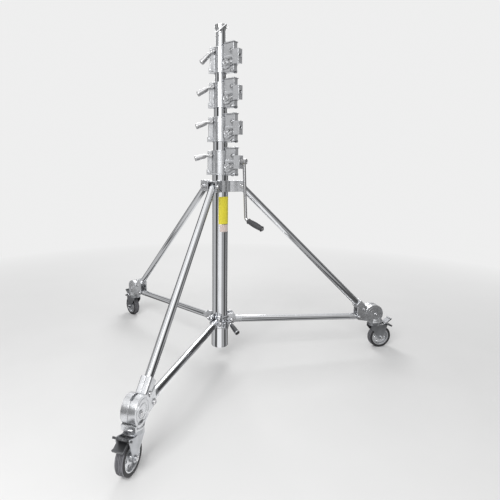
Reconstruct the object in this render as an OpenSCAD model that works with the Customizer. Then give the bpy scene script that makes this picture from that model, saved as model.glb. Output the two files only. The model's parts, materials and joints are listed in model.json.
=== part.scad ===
// Crank stand: a wheeled folding base, a fixed column and four risers wound up by geared crank drives.
// Millimetres, +Z up. The origin is on the floor under the column; leg c points along +X.

/* [Column and risers] */
// Outside diameter of the fixed column
column_od = 80; // [76:1:84]
// Wall of the column and of each riser
tube_wall = 2; // [1.8:0.1:2.2]
// Radial space between one tube and the next
tube_gap = 2; // [1.8:0.1:2.2]
// Height of the column's lower end above the floor
column_foot_z = 77; // [60:1:90]
// Height of the closed foot cap on the column
foot_cap_h = 107.7; // [90:0.1:107.7]
// Wall of the foot cap
foot_cap_wall = 4; // [3:0.5:5]
// Height of the lowest collar's top above the floor
first_collar_top = 1088; // [1080:1:1120]
// Rise from one collar to the next with the risers down
collar_step = 157; // [150:1:180]
// Height of a collar
collar_h = 115; // [110:1:118]
// Wall of a collar
collar_wall = 5; // [4:0.5:6]
// Length of tube kept inside the tube below at full height
least_overlap = 216; // [200:1:260]
// Height of the top rim above the highest collar
top_rise = 99; // [90:1:120]

/* [Top socket] */
// Radius of the receiver bore
socket_bore_r = 14.35; // [12:0.05:16]
// Depth of the receiver bore
socket_depth = 90; // [60:1:100]
// Radius of the socket's rim
socket_rim_r = 27.5; // [26:0.5:30]
// Height of the socket's rim
socket_rim_h = 18; // [16:1:24]
// Length of the lock screw's cross bar
tee_bar_length = 57; // [40:1:70]

/* [Crank drives] */
// Direction in which the drives stand out from the column
drive_azimuth = -50; // [-54:1:-46]
// Teeth on the sprocket that lifts a riser
sprocket_teeth = 12; // [11:1:13]
// Distance between the slots of a riser's rack
slot_pitch = 12; // [11.5:0.1:12.5]
// Height of one rack slot
slot_h = 7.5; // [7.2:0.1:8]
// Width of one rack slot
slot_w = 8; // [7:0.5:9]
// Width of the rack strip
strip_w = 14; // [13:0.5:15]
// Thickness of the rack strip
strip_t = 2.4; // [2:0.1:2.6]
// Thickness of the sprocket
sprocket_t = 5; // [4:0.5:6]
// Teeth on the worm wheel
wheel_teeth = 16; // [14:1:16]
// Module of the worm wheel
wheel_module = 1.8; // [1.7:0.05:1.8]
// Width of the worm wheel
wheel_w = 6; // [5:0.5:7]
// Pitch radius of the worm
worm_pr = 6; // [5.8:0.1:6.4]
// Radius of the sprocket axle
axle_r = 6; // [5:0.5:6.5]
// Drop from a collar's top to the crank input
input_drop = 52; // [48:1:56]
// Width of the drive box
drive_box_w = 28; // [26:1:30]
// Reach of the drive box beyond the sprocket axle
drive_box_reach = 43; // [40:1:48]
// Reach of the input block beyond the sprocket axle
input_block_reach = 77; // [72:1:84]
// Radius of the gear cover on the side of the box
gear_cover_r = 30; // [27:0.5:31]

/* [Crank] */
// Length of the crank's arm
crank_arm_length = 272; // [240:1:280]
// Lean of the crank's arm away from the column
crank_lean = 3; // [2:0.5:6]
// Diameter of the crank's arm
crank_rod_d = 15; // [12:0.5:18]
// Length of the crank's grip
grip_length = 86; // [70:1:100]
// Radius of the crank's grip
grip_r = 14.5; // [12:0.5:17]
// Angle of the grip below level
grip_dip = 22; // [10:1:30]

/* [Clamp levers] */
// Length of a clamp lever from its screw
lever_length = 76; // [60:1:80]
// Radius of a clamp lever's flared end
lever_end_r = 13; // [10:0.5:14]
// Stand-out of the clamp ears beyond the collar
ear_out = 17; // [15:1:20]

/* [Legs] */
// Diameter of the leg and strut tubes
leg_od = 35; // [32:0.5:38]
// Distance of the leg pivot from the column's axis
leg_pivot_r = 108; // [104:1:114]
// Height of the leg pivot
leg_pivot_z = 918; // [900:1:930]
// Angle of the open leg from the vertical
leg_angle = 45.93; // [44:0.01:47]
// Length from the leg pivot to the knuckle's sleeve
leg_to_knuckle = 932; // [900:1:950]
// Height of the leg hub
hub_h = 55; // [50:1:60]
// Wall of the hub's ring
hub_wall = 10; // [8:0.5:14]
// Thickness of each hub cheek
cheek_t = 6; // [5:0.5:8]

/* [Struts] */
// Distance of the strut's inner pivot from the column's axis
strut_in_r = 61; // [60:0.5:66]
// Height of the strut's inner pivot
strut_in_z = 221; // [216:1:226]
// Height of the strut collar
strut_collar_h = 65; // [56:1:70]
// Distance from the leg's axis to the strut's outer pivot
strut_offset = 49.5; // [48:0.5:54]
// Radius of every pivot pin
pivot_r = 6; // [5:0.5:7]

/* [Knuckles] */
// Radius of the knuckle's round body
knuckle_r = 53; // [50:0.5:56]
// Thickness of the knuckle's round body
knuckle_t = 56; // [52:1:60]
// Width of the knuckle's sleeve
sleeve_w = 46; // [43:0.5:48]
// Width of the seam between a knuckle's two shells
seam = 0.3; // [0.2:0.1:0.6]

/* [Casters] */
// Diameter of a caster wheel
wheel_d = 125; // [115:1:128]
// Width of a caster wheel
wheel_width = 35; // [30:1:38]
// Distance from the swivel axis to the wheel's axle
caster_trail = 38; // [34:1:42]
// Radius of the swivel bearing
swivel_r = 34; // [30:0.5:38]
// Height of the knuckle's underside above the floor
swivel_z = 150; // [148:1:156]
// Thickness of the fork's plates
fork_t = 4; // [3:0.5:5]
// Radius of the wheel's axle
caster_axle_r = 5; // [4:0.5:6]

/* [Clearances] */
// Running clearance of pins and shafts in their bores
run = 0.05; // [0.02:0.01:0.08]
// Clearance of flat faces that slide past each other
side = 0.3; // [0.2:0.1:0.5]

/* [Hidden] */
$fn = 64;
RISERS = 4;
LEGS = ["a", "b", "c"];
LEG_AZIMUTH = [-120, 120, 0];
LEVER_DIP = [13, 20, 28, 45];
FAR = 4000;

function tube_r(k) = column_od / 2 - k * (tube_wall + tube_gap);
function collar_top(k) = first_collar_top + (k - 1) * collar_step;
function collar_r(k) = tube_r(k - 1) + collar_wall;
function riser_foot_z(k) = column_foot_z + 13 + 5 * k;
function tube_top(k) = k == RISERS ? top_z - socket_rim_h : collar_top(k + 1) - 1;

top_z = collar_top(RISERS) + top_rise;
cap_floor = 8;

// drive: a sprocket and a worm wheel share one axle, the worm lies above the wheel
sprocket_pr = sprocket_teeth * slot_pitch / (2 * PI);
wheel_pr = wheel_teeth * wheel_module / 2;
worm_pitch = PI * wheel_module;
worm_up = wheel_pr + worm_pr;
worm_side = -10.5;
tooth_below = 1.6;
tooth_above = 1.1;
worm_tip_r = worm_pr + 1.2;
worm_core_r = worm_pr - 1.4;
input_r = 7;
input_square = 9;
input_square_depth = 16;
strip_sink = 0.1;
function strip_face(k) = sqrt(pow(tube_r(k), 2) - pow(strip_w / 2, 2)) - strip_sink;
function axle_x(k) = strip_face(k) - strip_t / 2 + sprocket_pr;
function axle_z(k) = collar_top(k) - input_drop - worm_up;
input_half = 13;
function box_top(k) = collar_top(k) - axle_z(k) + 10;
function box_low(k) = box_top(k) - collar_h - 7;
turn_rise = sprocket_teeth * slot_pitch / wheel_teeth;
function travel(k) = turn_rise
    * floor((tube_top(k - 1) - least_overlap - riser_foot_z(k)) / turn_rise);
function slots_below(k) = ceil(travel(k) / slot_pitch) + 2;
slots_above = 2;
strip_end = slot_pitch / 2 + 4;
function strip_low(k) = axle_z(k) - slots_below(k) * slot_pitch - strip_end;
function strip_high(k) = axle_z(k) + slots_above * slot_pitch + strip_end;

// legs, struts and knuckles in the upright plane of one leg: x is the distance from the column
leg_r = leg_od / 2;
leg_dir = [sin(leg_angle), -cos(leg_angle)];
leg_up = [cos(leg_angle), sin(leg_angle)];
leg_pivot = [leg_pivot_r, leg_pivot_z];
function on_leg(a, b = 0) = leg_pivot + a * leg_dir + b * leg_up;
leg_past_pivot = 8;
sleeve_length = 70;
leg_in_knuckle = 78;
clamp_bolt_in = 52;
strut_ears_in = 65;
swivel_arm_in = 135;
swivel_offset = 17;
leg_length = leg_to_knuckle + leg_in_knuckle;
clamp_bolt = leg_to_knuckle + clamp_bolt_in;
strut_out_at = leg_to_knuckle + strut_ears_in;
strut_out = on_leg(strut_out_at, -strut_offset);
strut_in = [strut_in_r, strut_in_z];
strut_vec = strut_out - strut_in;
strut_length = norm(strut_vec);
strut_tilt = atan2(strut_vec[1], strut_vec[0]);
strut_past = 12;
strut_plug = 25;
// the inner end tapers to a nose, so that it turns clear of the strut collar's sleeve
strut_shoulder = 2;
strut_nose_r = sqrt(leg_r * leg_r + strut_shoulder * strut_shoulder - strut_past * strut_past);
ear_gap = leg_r + 0.7;
ear_t = 7;
ear_r = 16;
knuckle_c = [on_leg(leg_to_knuckle + swivel_arm_in)[0], swivel_z + knuckle_r];
swivel_x = knuckle_c[0] + swivel_offset;
bolt_r = 4;

// caster, x from its swivel axis
wheel_r = wheel_d / 2;
rim_r = wheel_r - 12.5;
fork_in = wheel_width / 2 + 5.5;
fork_out = fork_in + fork_t;
crown_z = swivel_z - 18;
king_r = 6;
king_up = 34;
pedal_x = caster_trail + 24;
pedal_z = swivel_z - 12;
pedal_pin_r = 4;

// shared shapes
module block(x0, x1, y0, y1, z0, z1) {
    translate([x0, y0, z0]) cube([x1 - x0, y1 - y0, z1 - z0]);
}

module rod_x(x0, x1, r) {
    translate([x0, 0, 0]) rotate([0, 90, 0]) cylinder(r = r, h = x1 - x0);
}

module rod_y(y0, y1, r) {
    translate([0, y0, 0]) rotate([-90, 0, 0]) cylinder(r = r, h = y1 - y0);
}

module rod_z(z0, z1, r) {
    translate([0, 0, z0]) cylinder(r = r, h = z1 - z0);
}

module ring_z(z0, z1, inner, outer) {
    difference() {
        rod_z(z0, z1, outer);
        rod_z(z0 - 1, z1 + 1, inner);
    }
}

module slab_y(y0, y1) {
    translate([0, y1, 0]) rotate([90, 0, 0]) linear_extrude(y1 - y0) children();
}

module at(p) {
    translate([p[0], 0, p[1]]) children();
}

module along_leg() {
    at(leg_pivot) rotate([0, 180 - leg_angle, 0]) children();
}

module at_drive(k) {
    rotate([0, 0, drive_azimuth]) translate([axle_x(k), 0, axle_z(k)]) children();
}

module at_worm(k) {
    at_drive(k) translate([0, worm_side, worm_up]) children();
}

module at_leg(i) {
    rotate([0, 0, LEG_AZIMUTH[i]]) children();
}

module at_caster(i) {
    at_leg(i) translate([swivel_x, 0, 0]) children();
}

// column, risers and their racks
module drive_window(k) {
    at_drive(k) block(-axle_x(k) + tube_r(k - 1) - tube_wall - 3, 0,
        -sprocket_t, sprocket_t, -sprocket_pr - 3, sprocket_pr + 3);
}

module column_tube() {
    color("gainsboro") difference() {
        ring_z(column_foot_z + cap_floor, tube_top(0), tube_r(0) - tube_wall, tube_r(0));
        drive_window(1);
    }
}

module column_foot_cap() {
    r = tube_r(0) + foot_cap_wall;
    color("silver") difference() {
        rotate_extrude() polygon([[0, column_foot_z], [r - 6, column_foot_z],
            [r - 1.5, column_foot_z + 2], [r, column_foot_z + 7],
            [r, column_foot_z + foot_cap_h], [0, column_foot_z + foot_cap_h]]);
        rod_z(column_foot_z + cap_floor, FAR, tube_r(0) + run);
    }
}

module riser_tube(k) {
    r = tube_r(k);
    color("gainsboro") {
        difference() {
            ring_z(riser_foot_z(k), tube_top(k), r - tube_wall, r);
            rotate([0, 0, drive_azimuth])
                block(0, r + 1, -strip_w / 2 - strip_sink, strip_w / 2 + strip_sink,
                    strip_low(k) - strip_sink, strip_high(k) + strip_sink);
            if (k < RISERS) drive_window(k + 1);
            else at_tee() rod_x(0, r + 1, tee_boss_r + run);
        }
    }
    color("dimgray") difference() {
        ring_z(riser_foot_z(k), riser_foot_z(k) + 30, r + run, r + tube_gap - 2 * run);
        rotate([0, 0, drive_azimuth]) block(0, FAR, -strip_w / 2 - 1, strip_w / 2 + 1, 0, FAR);
    }
}

module rack(k) {
    color("silver") rotate([0, 0, drive_azimuth]) translate([strip_face(k) - strip_t, 0, 0])
        rotate([90, 0, 90]) linear_extrude(strip_t) difference() {
            translate([-strip_w / 2, strip_low(k)])
                square([strip_w, strip_high(k) - strip_low(k)]);
            for (i = [-slots_below(k):slots_above])
                translate([-slot_w / 2, axle_z(k) + i * slot_pitch - slot_h / 2])
                    square([slot_w, slot_h]);
        }
}

// collars: a split sleeve, its ears and the guide bush inside the tube's mouth
module collar(k) {
    r = collar_r(k);
    top = collar_top(k);
    bush_r = tube_r(k) + tube_gap;
    color("lightgray") difference() {
        union() {
            rod_z(top - collar_h, top, r);
            block(-r - ear_out, 0, -ear_half, ear_half, top - collar_h, top);
            block(-r - ear_out - 5, 0, -ear_half, ear_half, top - collar_h, top - collar_h + 26);
        }
        rod_z(0, FAR, tube_r(k - 1) + run);
        block(-FAR, -tube_r(k - 1) + 3, -ear_slit, ear_slit, 0, FAR);
        at_ear_screw(k) rod_y(-FAR, FAR, bolt_r + run);
        at_ear_bolt(k) rod_y(-FAR, FAR, bolt_r + run);
        at_drive(k) block(-axle_x(k) / 2, 0, worm_side - wheel_w / 2 - 1, sprocket_t,
            -sprocket_pr - 3, sprocket_pr + 3);
    }
    color("dimgray") difference() {
        union() {
            rod_z(top - 28, top, bush_r - run);
            rod_z(top + run, top + 3, bush_r + tube_wall);
        }
        rod_z(0, FAR, tube_r(k) + run);
    }
    color("silver") at_ear_bolt(k) {
        rod_y(-ear_half - 5, ear_half + 5, bolt_r);
        rod_y(-ear_half - 6, -ear_half, 7);
        rod_y(ear_half, ear_half + 5, 7);
    }
}

ear_half = 11;
ear_slit = 1.5;

module at_ear_screw(k) {
    translate([-collar_r(k) - 8, 0, collar_top(k) - 20]) children();
}

module at_ear_bolt(k) {
    translate([-collar_r(k) - 12, 0, collar_top(k) - collar_h + 13]) children();
}

module lever_arm(neck) {
    rotate([0, -90, 0]) rotate_extrude() polygon([[0, 0], [neck, 0], [neck, 20],
        [neck + 2, 28], [lever_end_r - 3.5, lever_length - 22],
        [lever_end_r - 2.5, lever_length - 10], [lever_end_r, lever_length - 6],
        [lever_end_r, lever_length], [0, lever_length]]);
}

// a lever on its screw: the screw runs along Y, the arm points to -X
module clamp_lever_shape(dip, half) {
    arm_y = -half - side - lever_end_r;
    difference() {
        union() {
            rod_y(arm_y - 8, -half - side, 9);
            rod_y(-half - side, half + 4, bolt_r);
            translate([0, arm_y, 0]) rotate([0, -dip, 0]) lever_arm(6);
        }
        rod_y(arm_y - 9, arm_y - 5, 3);
    }
    rod_y(half + side, half + side + 6, 7.5);
}

module clamp_lever(k) {
    color("silver") at_ear_screw(k) clamp_lever_shape(LEVER_DIP[k - 1], ear_half);
}

// crank drive: a box round the gears, two round side covers and a top plate
module collar_clear(k, r) {
    translate([-axle_x(k), 0, -collar_h]) rod_z(0, 3 * collar_h, r);
}

module drive_box(k) {
    inner = collar_r(k) - axle_x(k);
    half = drive_box_w / 2;
    room = sprocket_pr + 2.5;
    wheel_room = wheel_pr + 3;
    difference() {
        union() {
            block(inner - 5, drive_box_reach, -half, half, box_low(k), box_top(k));
            block(drive_box_reach - 1, input_block_reach, worm_side - input_half,
                worm_side + input_half + 4, worm_up - 34, worm_up + 29);
            block(inner + 4, drive_box_reach - 15, -half + 3, half - 3,
                box_low(k) - 6, box_low(k) + 1);
            translate([0, worm_side, worm_up])
                rod_x(inner + 1, drive_box_reach + 4, worm_tip_r + 3.3);
        }
        collar_clear(k, collar_r(k) + run);
        block(-gear_cover_r, room, -sprocket_t / 2 - 1.5, sprocket_t / 2 + 1.5, -room, room);
        block(-gear_cover_r, wheel_room, -half - 1, -sprocket_t / 2 - 1, -wheel_room, wheel_room);
        rod_y(0, half + 1, axle_r + run);
        translate([0, worm_side, worm_up]) {
            rod_x(-10, 18, worm_tip_r + 0.8);
            rod_x(-18, -9, worm_core_r + run);
            rod_x(17, input_block_reach + 1, input_r + run);
        }
    }
}

// a round cover, cut flat below the worm's barrel where the barrel is in its way
module gear_cover(k, top) {
    half = drive_box_w / 2;
    difference() {
        rod_y(-half - 5, -half - run, gear_cover_r);
        block(-gear_cover_r - 1, gear_cover_r + 1, -half - 6, -half + 1, top, gear_cover_r + 1);
        collar_clear(k, collar_r(k) + side);
        rod_y(-half - 4, -half + 1, axle_r + run);
    }
    for (a = [245, 292, 340])
        rotate([0, -a, 0]) translate([gear_cover_r - 6, 0, 0]) rod_y(-half - 8, -half - 4, 3.5);
}

module drive_housing(k) {
    inner = collar_r(k) - axle_x(k);
    half = drive_box_w / 2;
    color("lightgray") at_drive(k) drive_box(k);
    color("silver") at_drive(k) {
        gear_cover(k, worm_up - worm_tip_r - 3.8);
        mirror([0, 1, 0]) gear_cover(k, gear_cover_r);
        difference() {
            block(inner + 2, drive_box_reach + 2, -half - 4, half + 4,
                box_top(k) + run, box_top(k) + 5);
            collar_clear(k, tube_r(k - 1) + 3);
        }
        for (x = [inner + 10, drive_box_reach - 6])
            for (y = [-half + 5, half - 5])
                translate([x, y, 0]) rod_z(box_top(k) + 4, box_top(k) + 8, 4);
        translate([drive_box_reach - 8, 0, worm_up + 21]) rod_y(-half - 4, -half - run, 5.5);
    }
}

module sprocket_outline() {
    root = sprocket_pr - tooth_below - 0.6;
    circle(r = root);
    for (i = [0:sprocket_teeth - 1]) rotate(180 + i * 360 / sprocket_teeth)
        polygon([[root - 2, -2.7], [sprocket_pr, -2.2], [sprocket_pr + 1, -1.6],
            [sprocket_pr + 1, 1.6], [sprocket_pr, 2.2], [root - 2, 2.7]]);
}

module wheel_outline() {
    root = wheel_pr - tooth_below;
    circle(r = root);
    for (i = [0:wheel_teeth - 1]) rotate(90 + i * 360 / wheel_teeth)
        polygon([[root - 1, -1.3], [wheel_pr, -0.95], [wheel_pr + tooth_above, -0.6],
            [wheel_pr + tooth_above, 0.6], [wheel_pr, 0.95], [root - 1, 1.3]]);
}

module drive_gear(k) {
    half = drive_box_w / 2;
    color("darkgray") at_drive(k) {
        difference() {
            slab_y(-sprocket_t / 2, sprocket_t / 2) sprocket_outline();
            rod_y(-FAR, FAR, axle_r + run);
        }
        difference() {
            slab_y(worm_side - wheel_w / 2, worm_side + wheel_w / 2) wheel_outline();
            rod_y(-FAR, FAR, axle_r + run);
        }
        rod_y(-half - 3.5, half + 1.5, axle_r);
    }
}

// one right-hand thread as a swept strip; a groove's middle faces the wheel at rest
thread_step = 20;
thread_from = -40;
thread_to = 16;
thread_start = 0.75;
function thread_ring(i) = let(a = i * thread_step, x = worm_pitch * (thread_start + a / 360))
    [for (q = [[-1.2, worm_core_r - 0.5], [1.2, worm_core_r - 0.5], [0.55, worm_tip_r],
        [-0.55, worm_tip_r]]) [x + q[0], q[1] * cos(a), q[1] * sin(a)]];

module worm_thread() {
    rings = thread_to - thread_from;
    points = [for (i = [thread_from:thread_to]) each thread_ring(i)];
    sides = [for (i = [0:rings - 1]) for (j = [0:3])
        let(p = 4 * i + j, q = 4 * i + (j + 1) % 4) each [[q, p, p + 4], [q, p + 4, q + 4]]];
    last = 4 * rings;
    ends = [[0, 1, 2], [0, 2, 3], [last + 2, last + 1, last], [last + 3, last + 2, last]];
    polyhedron(points, concat(sides, ends));
}

module worm_shaft(k) {
    color("darkgray") at_worm(k) difference() {
        union() {
            rod_x(-12.8, 18, worm_core_r);
            rod_x(18, input_block_reach - 2, input_r);
            worm_thread();
        }
        block(input_block_reach - 2 - input_square_depth, FAR, -input_square / 2,
            input_square / 2, -input_square / 2, input_square / 2);
    }
}

// crank: driver, boss, bent arm and grip pin
crank_x = input_block_reach + 18;
crank_end = [crank_x + crank_arm_length * sin(crank_lean), 0, -crank_arm_length * cos(crank_lean)];
grip_gap = 6;

module crank_arm() {
    rod = crank_rod_d / 2;
    color("gray") at_worm(1) {
        block(input_block_reach - 2 - input_square_depth + 1, input_block_reach + 4,
            -input_square / 2 + run, input_square / 2 - run,
            -input_square / 2 + run, input_square / 2 - run);
        rod_x(input_block_reach + 2, crank_x + 14, 13);
        translate([crank_x, 0, 0]) rotate([0, -crank_lean, 0]) rod_z(-crank_arm_length, 0, rod);
        translate(crank_end) {
            sphere(r = rod * 1.25);
            rotate([0, grip_dip, 0]) {
                rod_x(0, 16, rod);
                rod_x(0, 16 + grip_gap + grip_length + 3, 5);
            }
        }
    }
}

module crank_grip() {
    color("black") at_worm(1) translate(crank_end)
        rotate([0, grip_dip, 0]) translate([16 + side, 0, 0]) rotate([0, 90, 0])
            rotate_extrude() polygon([[5 + run, 0], [grip_r - 4, 0], [grip_r - 1, 4],
                [grip_r, 18], [grip_r - 1, 45], [grip_r, grip_length - 12],
                [grip_r - 1, grip_length - 3], [grip_r - 4, grip_length],
                [5 + run, grip_length]]);
}

// top socket and its lock screw
tee_azimuth = -97;
tee_turn = 39;
tee_z = top_z - socket_rim_h - 9;
tee_boss_r = 7.5;
tee_reach = tube_r(RISERS) + 7;
module at_tee() {
    rotate([0, 0, tee_azimuth]) translate([0, 0, tee_z]) children();
}

module top_socket() {
    r = tube_r(RISERS) - tube_wall - 2 * run;
    color("silver") {
        difference() {
            union() {
                rod_z(top_z - socket_rim_h + run, top_z, socket_rim_r);
                rod_z(top_z - socket_depth - 8, top_z - socket_rim_h + 1, r);
                at_tee() rod_x(r - 4, tee_reach, tee_boss_r);
            }
            rod_z(top_z - socket_depth, FAR, socket_bore_r);
            at_tee() rod_x(0, tee_reach + 1, bolt_r + run);
        }
        rotate([0, 0, -12]) translate([socket_rim_r + 3, 0, top_z - 8]) rotate([90, 0, 0])
            rotate_extrude() translate([6, 0]) circle(r = 1.3);
    }
}

module top_lock_screw() {
    color("silver") at_tee() {
        rod_x(socket_bore_r + side, tee_reach + 16, bolt_r);
        translate([tee_reach + 14, 0, 0]) rotate([tee_turn, 0, 0])
            rod_y(-tee_bar_length / 2, tee_bar_length / 2, 5);
    }
}

// hub and its stub bolts
hub_z0 = leg_pivot_z - hub_h / 2;
hub_z1 = leg_pivot_z + hub_h / 2;
hub_arm_end = leg_pivot_r + 18;
cheek_in = leg_r + 0.5;

module leg_hub() {
    color("lightgray") difference() {
        union() {
            rod_z(hub_z0, hub_z1, tube_r(0) + hub_wall);
            for (i = [0:2]) at_leg(i) {
                for (s = [-1, 1])
                    block(0, hub_arm_end, min(s * cheek_in, s * (cheek_in + cheek_t)),
                        max(s * cheek_in, s * (cheek_in + cheek_t)), hub_z0, hub_z1);
                block(0, hub_arm_end, -cheek_in, cheek_in, hub_z1 - 5, hub_z1);
                block(0, leg_pivot_r - 44, -cheek_in, cheek_in, hub_z0, hub_z1);
            }
        }
        rod_z(0, FAR, tube_r(0) + run);
        for (i = [0:2]) at_leg(i) at(leg_pivot) rod_y(-FAR, FAR, pivot_r + run);
    }
}

module hub_pivot_bolts() {
    color("silver") for (i = [0:2]) at_leg(i) at(leg_pivot) for (s = [0, 180]) rotate([0, 0, s]) {
        rod_y(cheek_in, cheek_in + cheek_t + 6, pivot_r);
        difference() {
            rod_y(cheek_in + cheek_t, cheek_in + cheek_t + 7, 11);
            rod_y(cheek_in + cheek_t - 1, cheek_in + cheek_t + 8, pivot_r + run);
        }
    }
}

// a tube with a solid plug in each end, cross-bored where a pin goes through
module leg_tube(i) {
    color("gainsboro") at_leg(i) along_leg() difference() {
        union() {
            ring_z(-leg_past_pivot, leg_length, leg_r - tube_wall, leg_r);
            rod_z(-leg_past_pivot, 30, leg_r - 0.5);
        }
        rod_y(-FAR, FAR, pivot_r + run);
        translate([0, 0, clamp_bolt]) rod_y(-FAR, FAR, bolt_r + run);
    }
}

module strut(i) {
    color("gainsboro") at_leg(i) at(strut_in) rotate([0, 90 - strut_tilt, 0]) difference() {
        rotate_extrude() polygon([[0, -strut_past], [strut_nose_r, -strut_past],
            [leg_r, -strut_shoulder], [leg_r, strut_length + strut_past],
            [0, strut_length + strut_past]]);
        rod_z(strut_plug, strut_length - strut_plug, leg_r - tube_wall);
        for (z = [0, strut_length]) translate([0, 0, z]) rod_y(-FAR, FAR, pivot_r + run);
    }
}

// strut collar: a thin sleeve on the column with three pairs of ears and a clamp
lock_azimuth = -66;
strut_sleeve_r = tube_r(0) + side;
strut_lock_half = 10;
strut_lock_x = strut_sleeve_r + 16;
strut_lock_drop = 7;
strut_lock_dip = 27;

module strut_collar() {
    low = strut_in_z - 36;
    color("lightgray") difference() {
        union() {
            rod_z(low, low + strut_collar_h, strut_sleeve_r + 2.6);
            for (i = [0:2]) at_leg(i) for (s = [0, 180]) at(strut_in) mirror([0, s / 180, 0]) {
                rod_y(ear_gap, ear_gap + ear_t, ear_r - 1);
                block(-strut_in_r + 20, 0, ear_gap, ear_gap + ear_t, -ear_r + 1, ear_r - 1);
            }
            for (i = [0:2]) at_leg(i) for (z = [low + 3, low + strut_collar_h - 11])
                rotate([0, 0, 60]) block(0, strut_sleeve_r + 7, -22, 22, z, z + 8);
            rotate([0, 0, lock_azimuth]) block(0, strut_lock_x + 8, -strut_lock_half,
                strut_lock_half, low + 1, low + 40);
        }
        rod_z(0, FAR, strut_sleeve_r);
        rotate([0, 0, lock_azimuth]) block(0, FAR, -ear_slit, ear_slit, 0, FAR);
        for (i = [0:2]) at_leg(i) at(strut_in) rod_y(-FAR, FAR, pivot_r + run);
        at_strut_lock() rod_y(-FAR, FAR, bolt_r + run);
    }
}

module at_strut_lock() {
    rotate([0, 0, lock_azimuth]) translate([strut_lock_x, 0, strut_in_z - strut_lock_drop])
        children();
}

module pivot_bolt(half) {
    rod_y(-half - 5, half + 5, pivot_r);
    for (s = [-1, 1]) difference() {
        rod_y(min(s * (half + side), s * (half + 6)), max(s * (half + side), s * (half + 6)), 10);
        rod_y(-FAR, FAR, pivot_r + run);
    }
}

module strut_collar_bolts() {
    color("silver") for (i = [0:2]) at_leg(i) at(strut_in) pivot_bolt(ear_gap + ear_t);
}

module strut_collar_lever() {
    color("silver") at_strut_lock() rotate([0, 0, 180])
        clamp_lever_shape(strut_lock_dip, strut_lock_half);
}

// knuckle: two shells clamped on the leg, with ears for the strut and a seat for the caster
module knuckle_solid() {
    along_leg() intersection() {
        translate([-sleeve_w / 2, -sleeve_w / 2, leg_to_knuckle])
            cube([sleeve_w, sleeve_w, leg_length - leg_to_knuckle + 4]);
        rod_z(0, FAR, sleeve_w / 2 + 6);
    }
    at(knuckle_c) rod_y(-knuckle_t / 2, knuckle_t / 2, knuckle_r);
    block(swivel_x - swivel_r, swivel_x + swivel_r, -knuckle_t / 2, knuckle_t / 2,
        swivel_z, swivel_z + 22);
    for (s = [0, 1]) mirror([0, s, 0]) {
        at(strut_out) rod_y(ear_gap, ear_gap + ear_t, ear_r);
        slab_y(ear_gap, ear_gap + ear_t) polygon([strut_out + [-ear_r, 0],
            strut_out + [0, -ear_r], knuckle_c + [0, -knuckle_r + 8], knuckle_c,
            on_leg(clamp_bolt, -8), on_leg(leg_to_knuckle + 16, -sleeve_w / 2 + 4)]);
    }
}

module knuckle_cuts() {
    along_leg() rod_z(leg_to_knuckle - 1, leg_length + 1, leg_r + run);
    at(on_leg(clamp_bolt)) rod_y(-FAR, FAR, bolt_r + run);
    at(knuckle_c + [13, -4]) rod_y(-FAR, FAR, bolt_r + run);
    at(strut_out) rod_y(-FAR, FAR, pivot_r + run);
    translate([swivel_x, 0, 0]) rod_z(0, swivel_z + king_up + side, king_r + run);
    block(knuckle_c[0] - 28, knuckle_c[0] + 26, -5, 5, knuckle_c[1] + knuckle_r - 16, FAR);
}

module knuckle(i) {
    color("lightgray") at_leg(i) for (s = [0, 1]) difference() {
        knuckle_solid();
        knuckle_cuts();
        mirror([0, s, 0]) block(0, FAR, -seam / 2, FAR, 0, FAR);
    }
    color("silver") at_leg(i) {
        at(strut_out) pivot_bolt(ear_gap + ear_t);
        at(on_leg(clamp_bolt)) clamp_screw(sleeve_w / 2);
        at(knuckle_c + [13, -4]) clamp_screw(knuckle_t / 2);
    }
}

module clamp_screw(half) {
    rod_y(-half - 5, half + 5, bolt_r);
    for (s = [-1, 1]) difference() {
        rod_y(min(s * half, s * (half + 5)), max(s * half, s * (half + 5)), 8);
        rod_y(-FAR, FAR, bolt_r + run);
    }
}

// caster, with x from the swivel axis
module caster_fork(i) {
    seat = swivel_z - side;
    color("silver") at_caster(i) {
        difference() {
            union() {
                rod_z(crown_z, seat, swivel_r);
                block(-swivel_r + 8, swivel_r, -fork_out, fork_out, crown_z, crown_z + 5);
                for (s = [0, 1]) mirror([0, s, 0]) {
                    slab_y(fork_in, fork_out) polygon([[-swivel_r + 8, crown_z + 5],
                        [-swivel_r + 8, crown_z - 14], [caster_trail - 15, wheel_r],
                        [caster_trail + 15, wheel_r], [pedal_x + 9, pedal_z - 4],
                        [pedal_x, pedal_z + 9], [swivel_r, crown_z + 5]]);
                    translate([caster_trail, 0, wheel_r]) rod_y(fork_in, fork_out, 15);
                    translate([pedal_x, 0, pedal_z]) rod_y(fork_in, fork_out, 9);
                }
            }
            translate([caster_trail, 0, wheel_r]) rod_y(-FAR, FAR, caster_axle_r + run);
            translate([pedal_x, 0, pedal_z]) rod_y(-FAR, FAR, pedal_pin_r + run);
        }
        rod_z(seat, swivel_z + king_up, king_r);
        translate([caster_trail, 0, wheel_r]) {
            rod_y(-fork_out - 6, fork_out + 6, caster_axle_r);
            for (s = [-1, 1]) difference() {
                rod_y(min(s * fork_out, s * (fork_out + 6)), max(s * fork_out, s * (fork_out + 6)), 9);
                rod_y(-FAR, FAR, caster_axle_r + run);
            }
        }
    }
}

module wheel_core(i) {
    half = wheel_width / 2;
    color("silver") at_caster(i) translate([caster_trail, 0, wheel_r]) rotate([90, 0, 0])
        difference() {
            rotate_extrude() polygon([[caster_axle_r + run, -fork_in + side], [13, -fork_in + side],
                [16, -9], [rim_r - 8, -6], [rim_r - 5, -half + 2], [rim_r, -half + 2],
                [rim_r, half - 2], [rim_r - 5, half - 2], [rim_r - 8, 6], [16, 9],
                [13, fork_in - side], [caster_axle_r + run, fork_in - side]]);
            for (a = [0:60:300]) rotate(a) translate([(rim_r + 8) / 2, 0, -FAR / 2]) rod_z(0, FAR, 6);
        }
}

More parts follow.
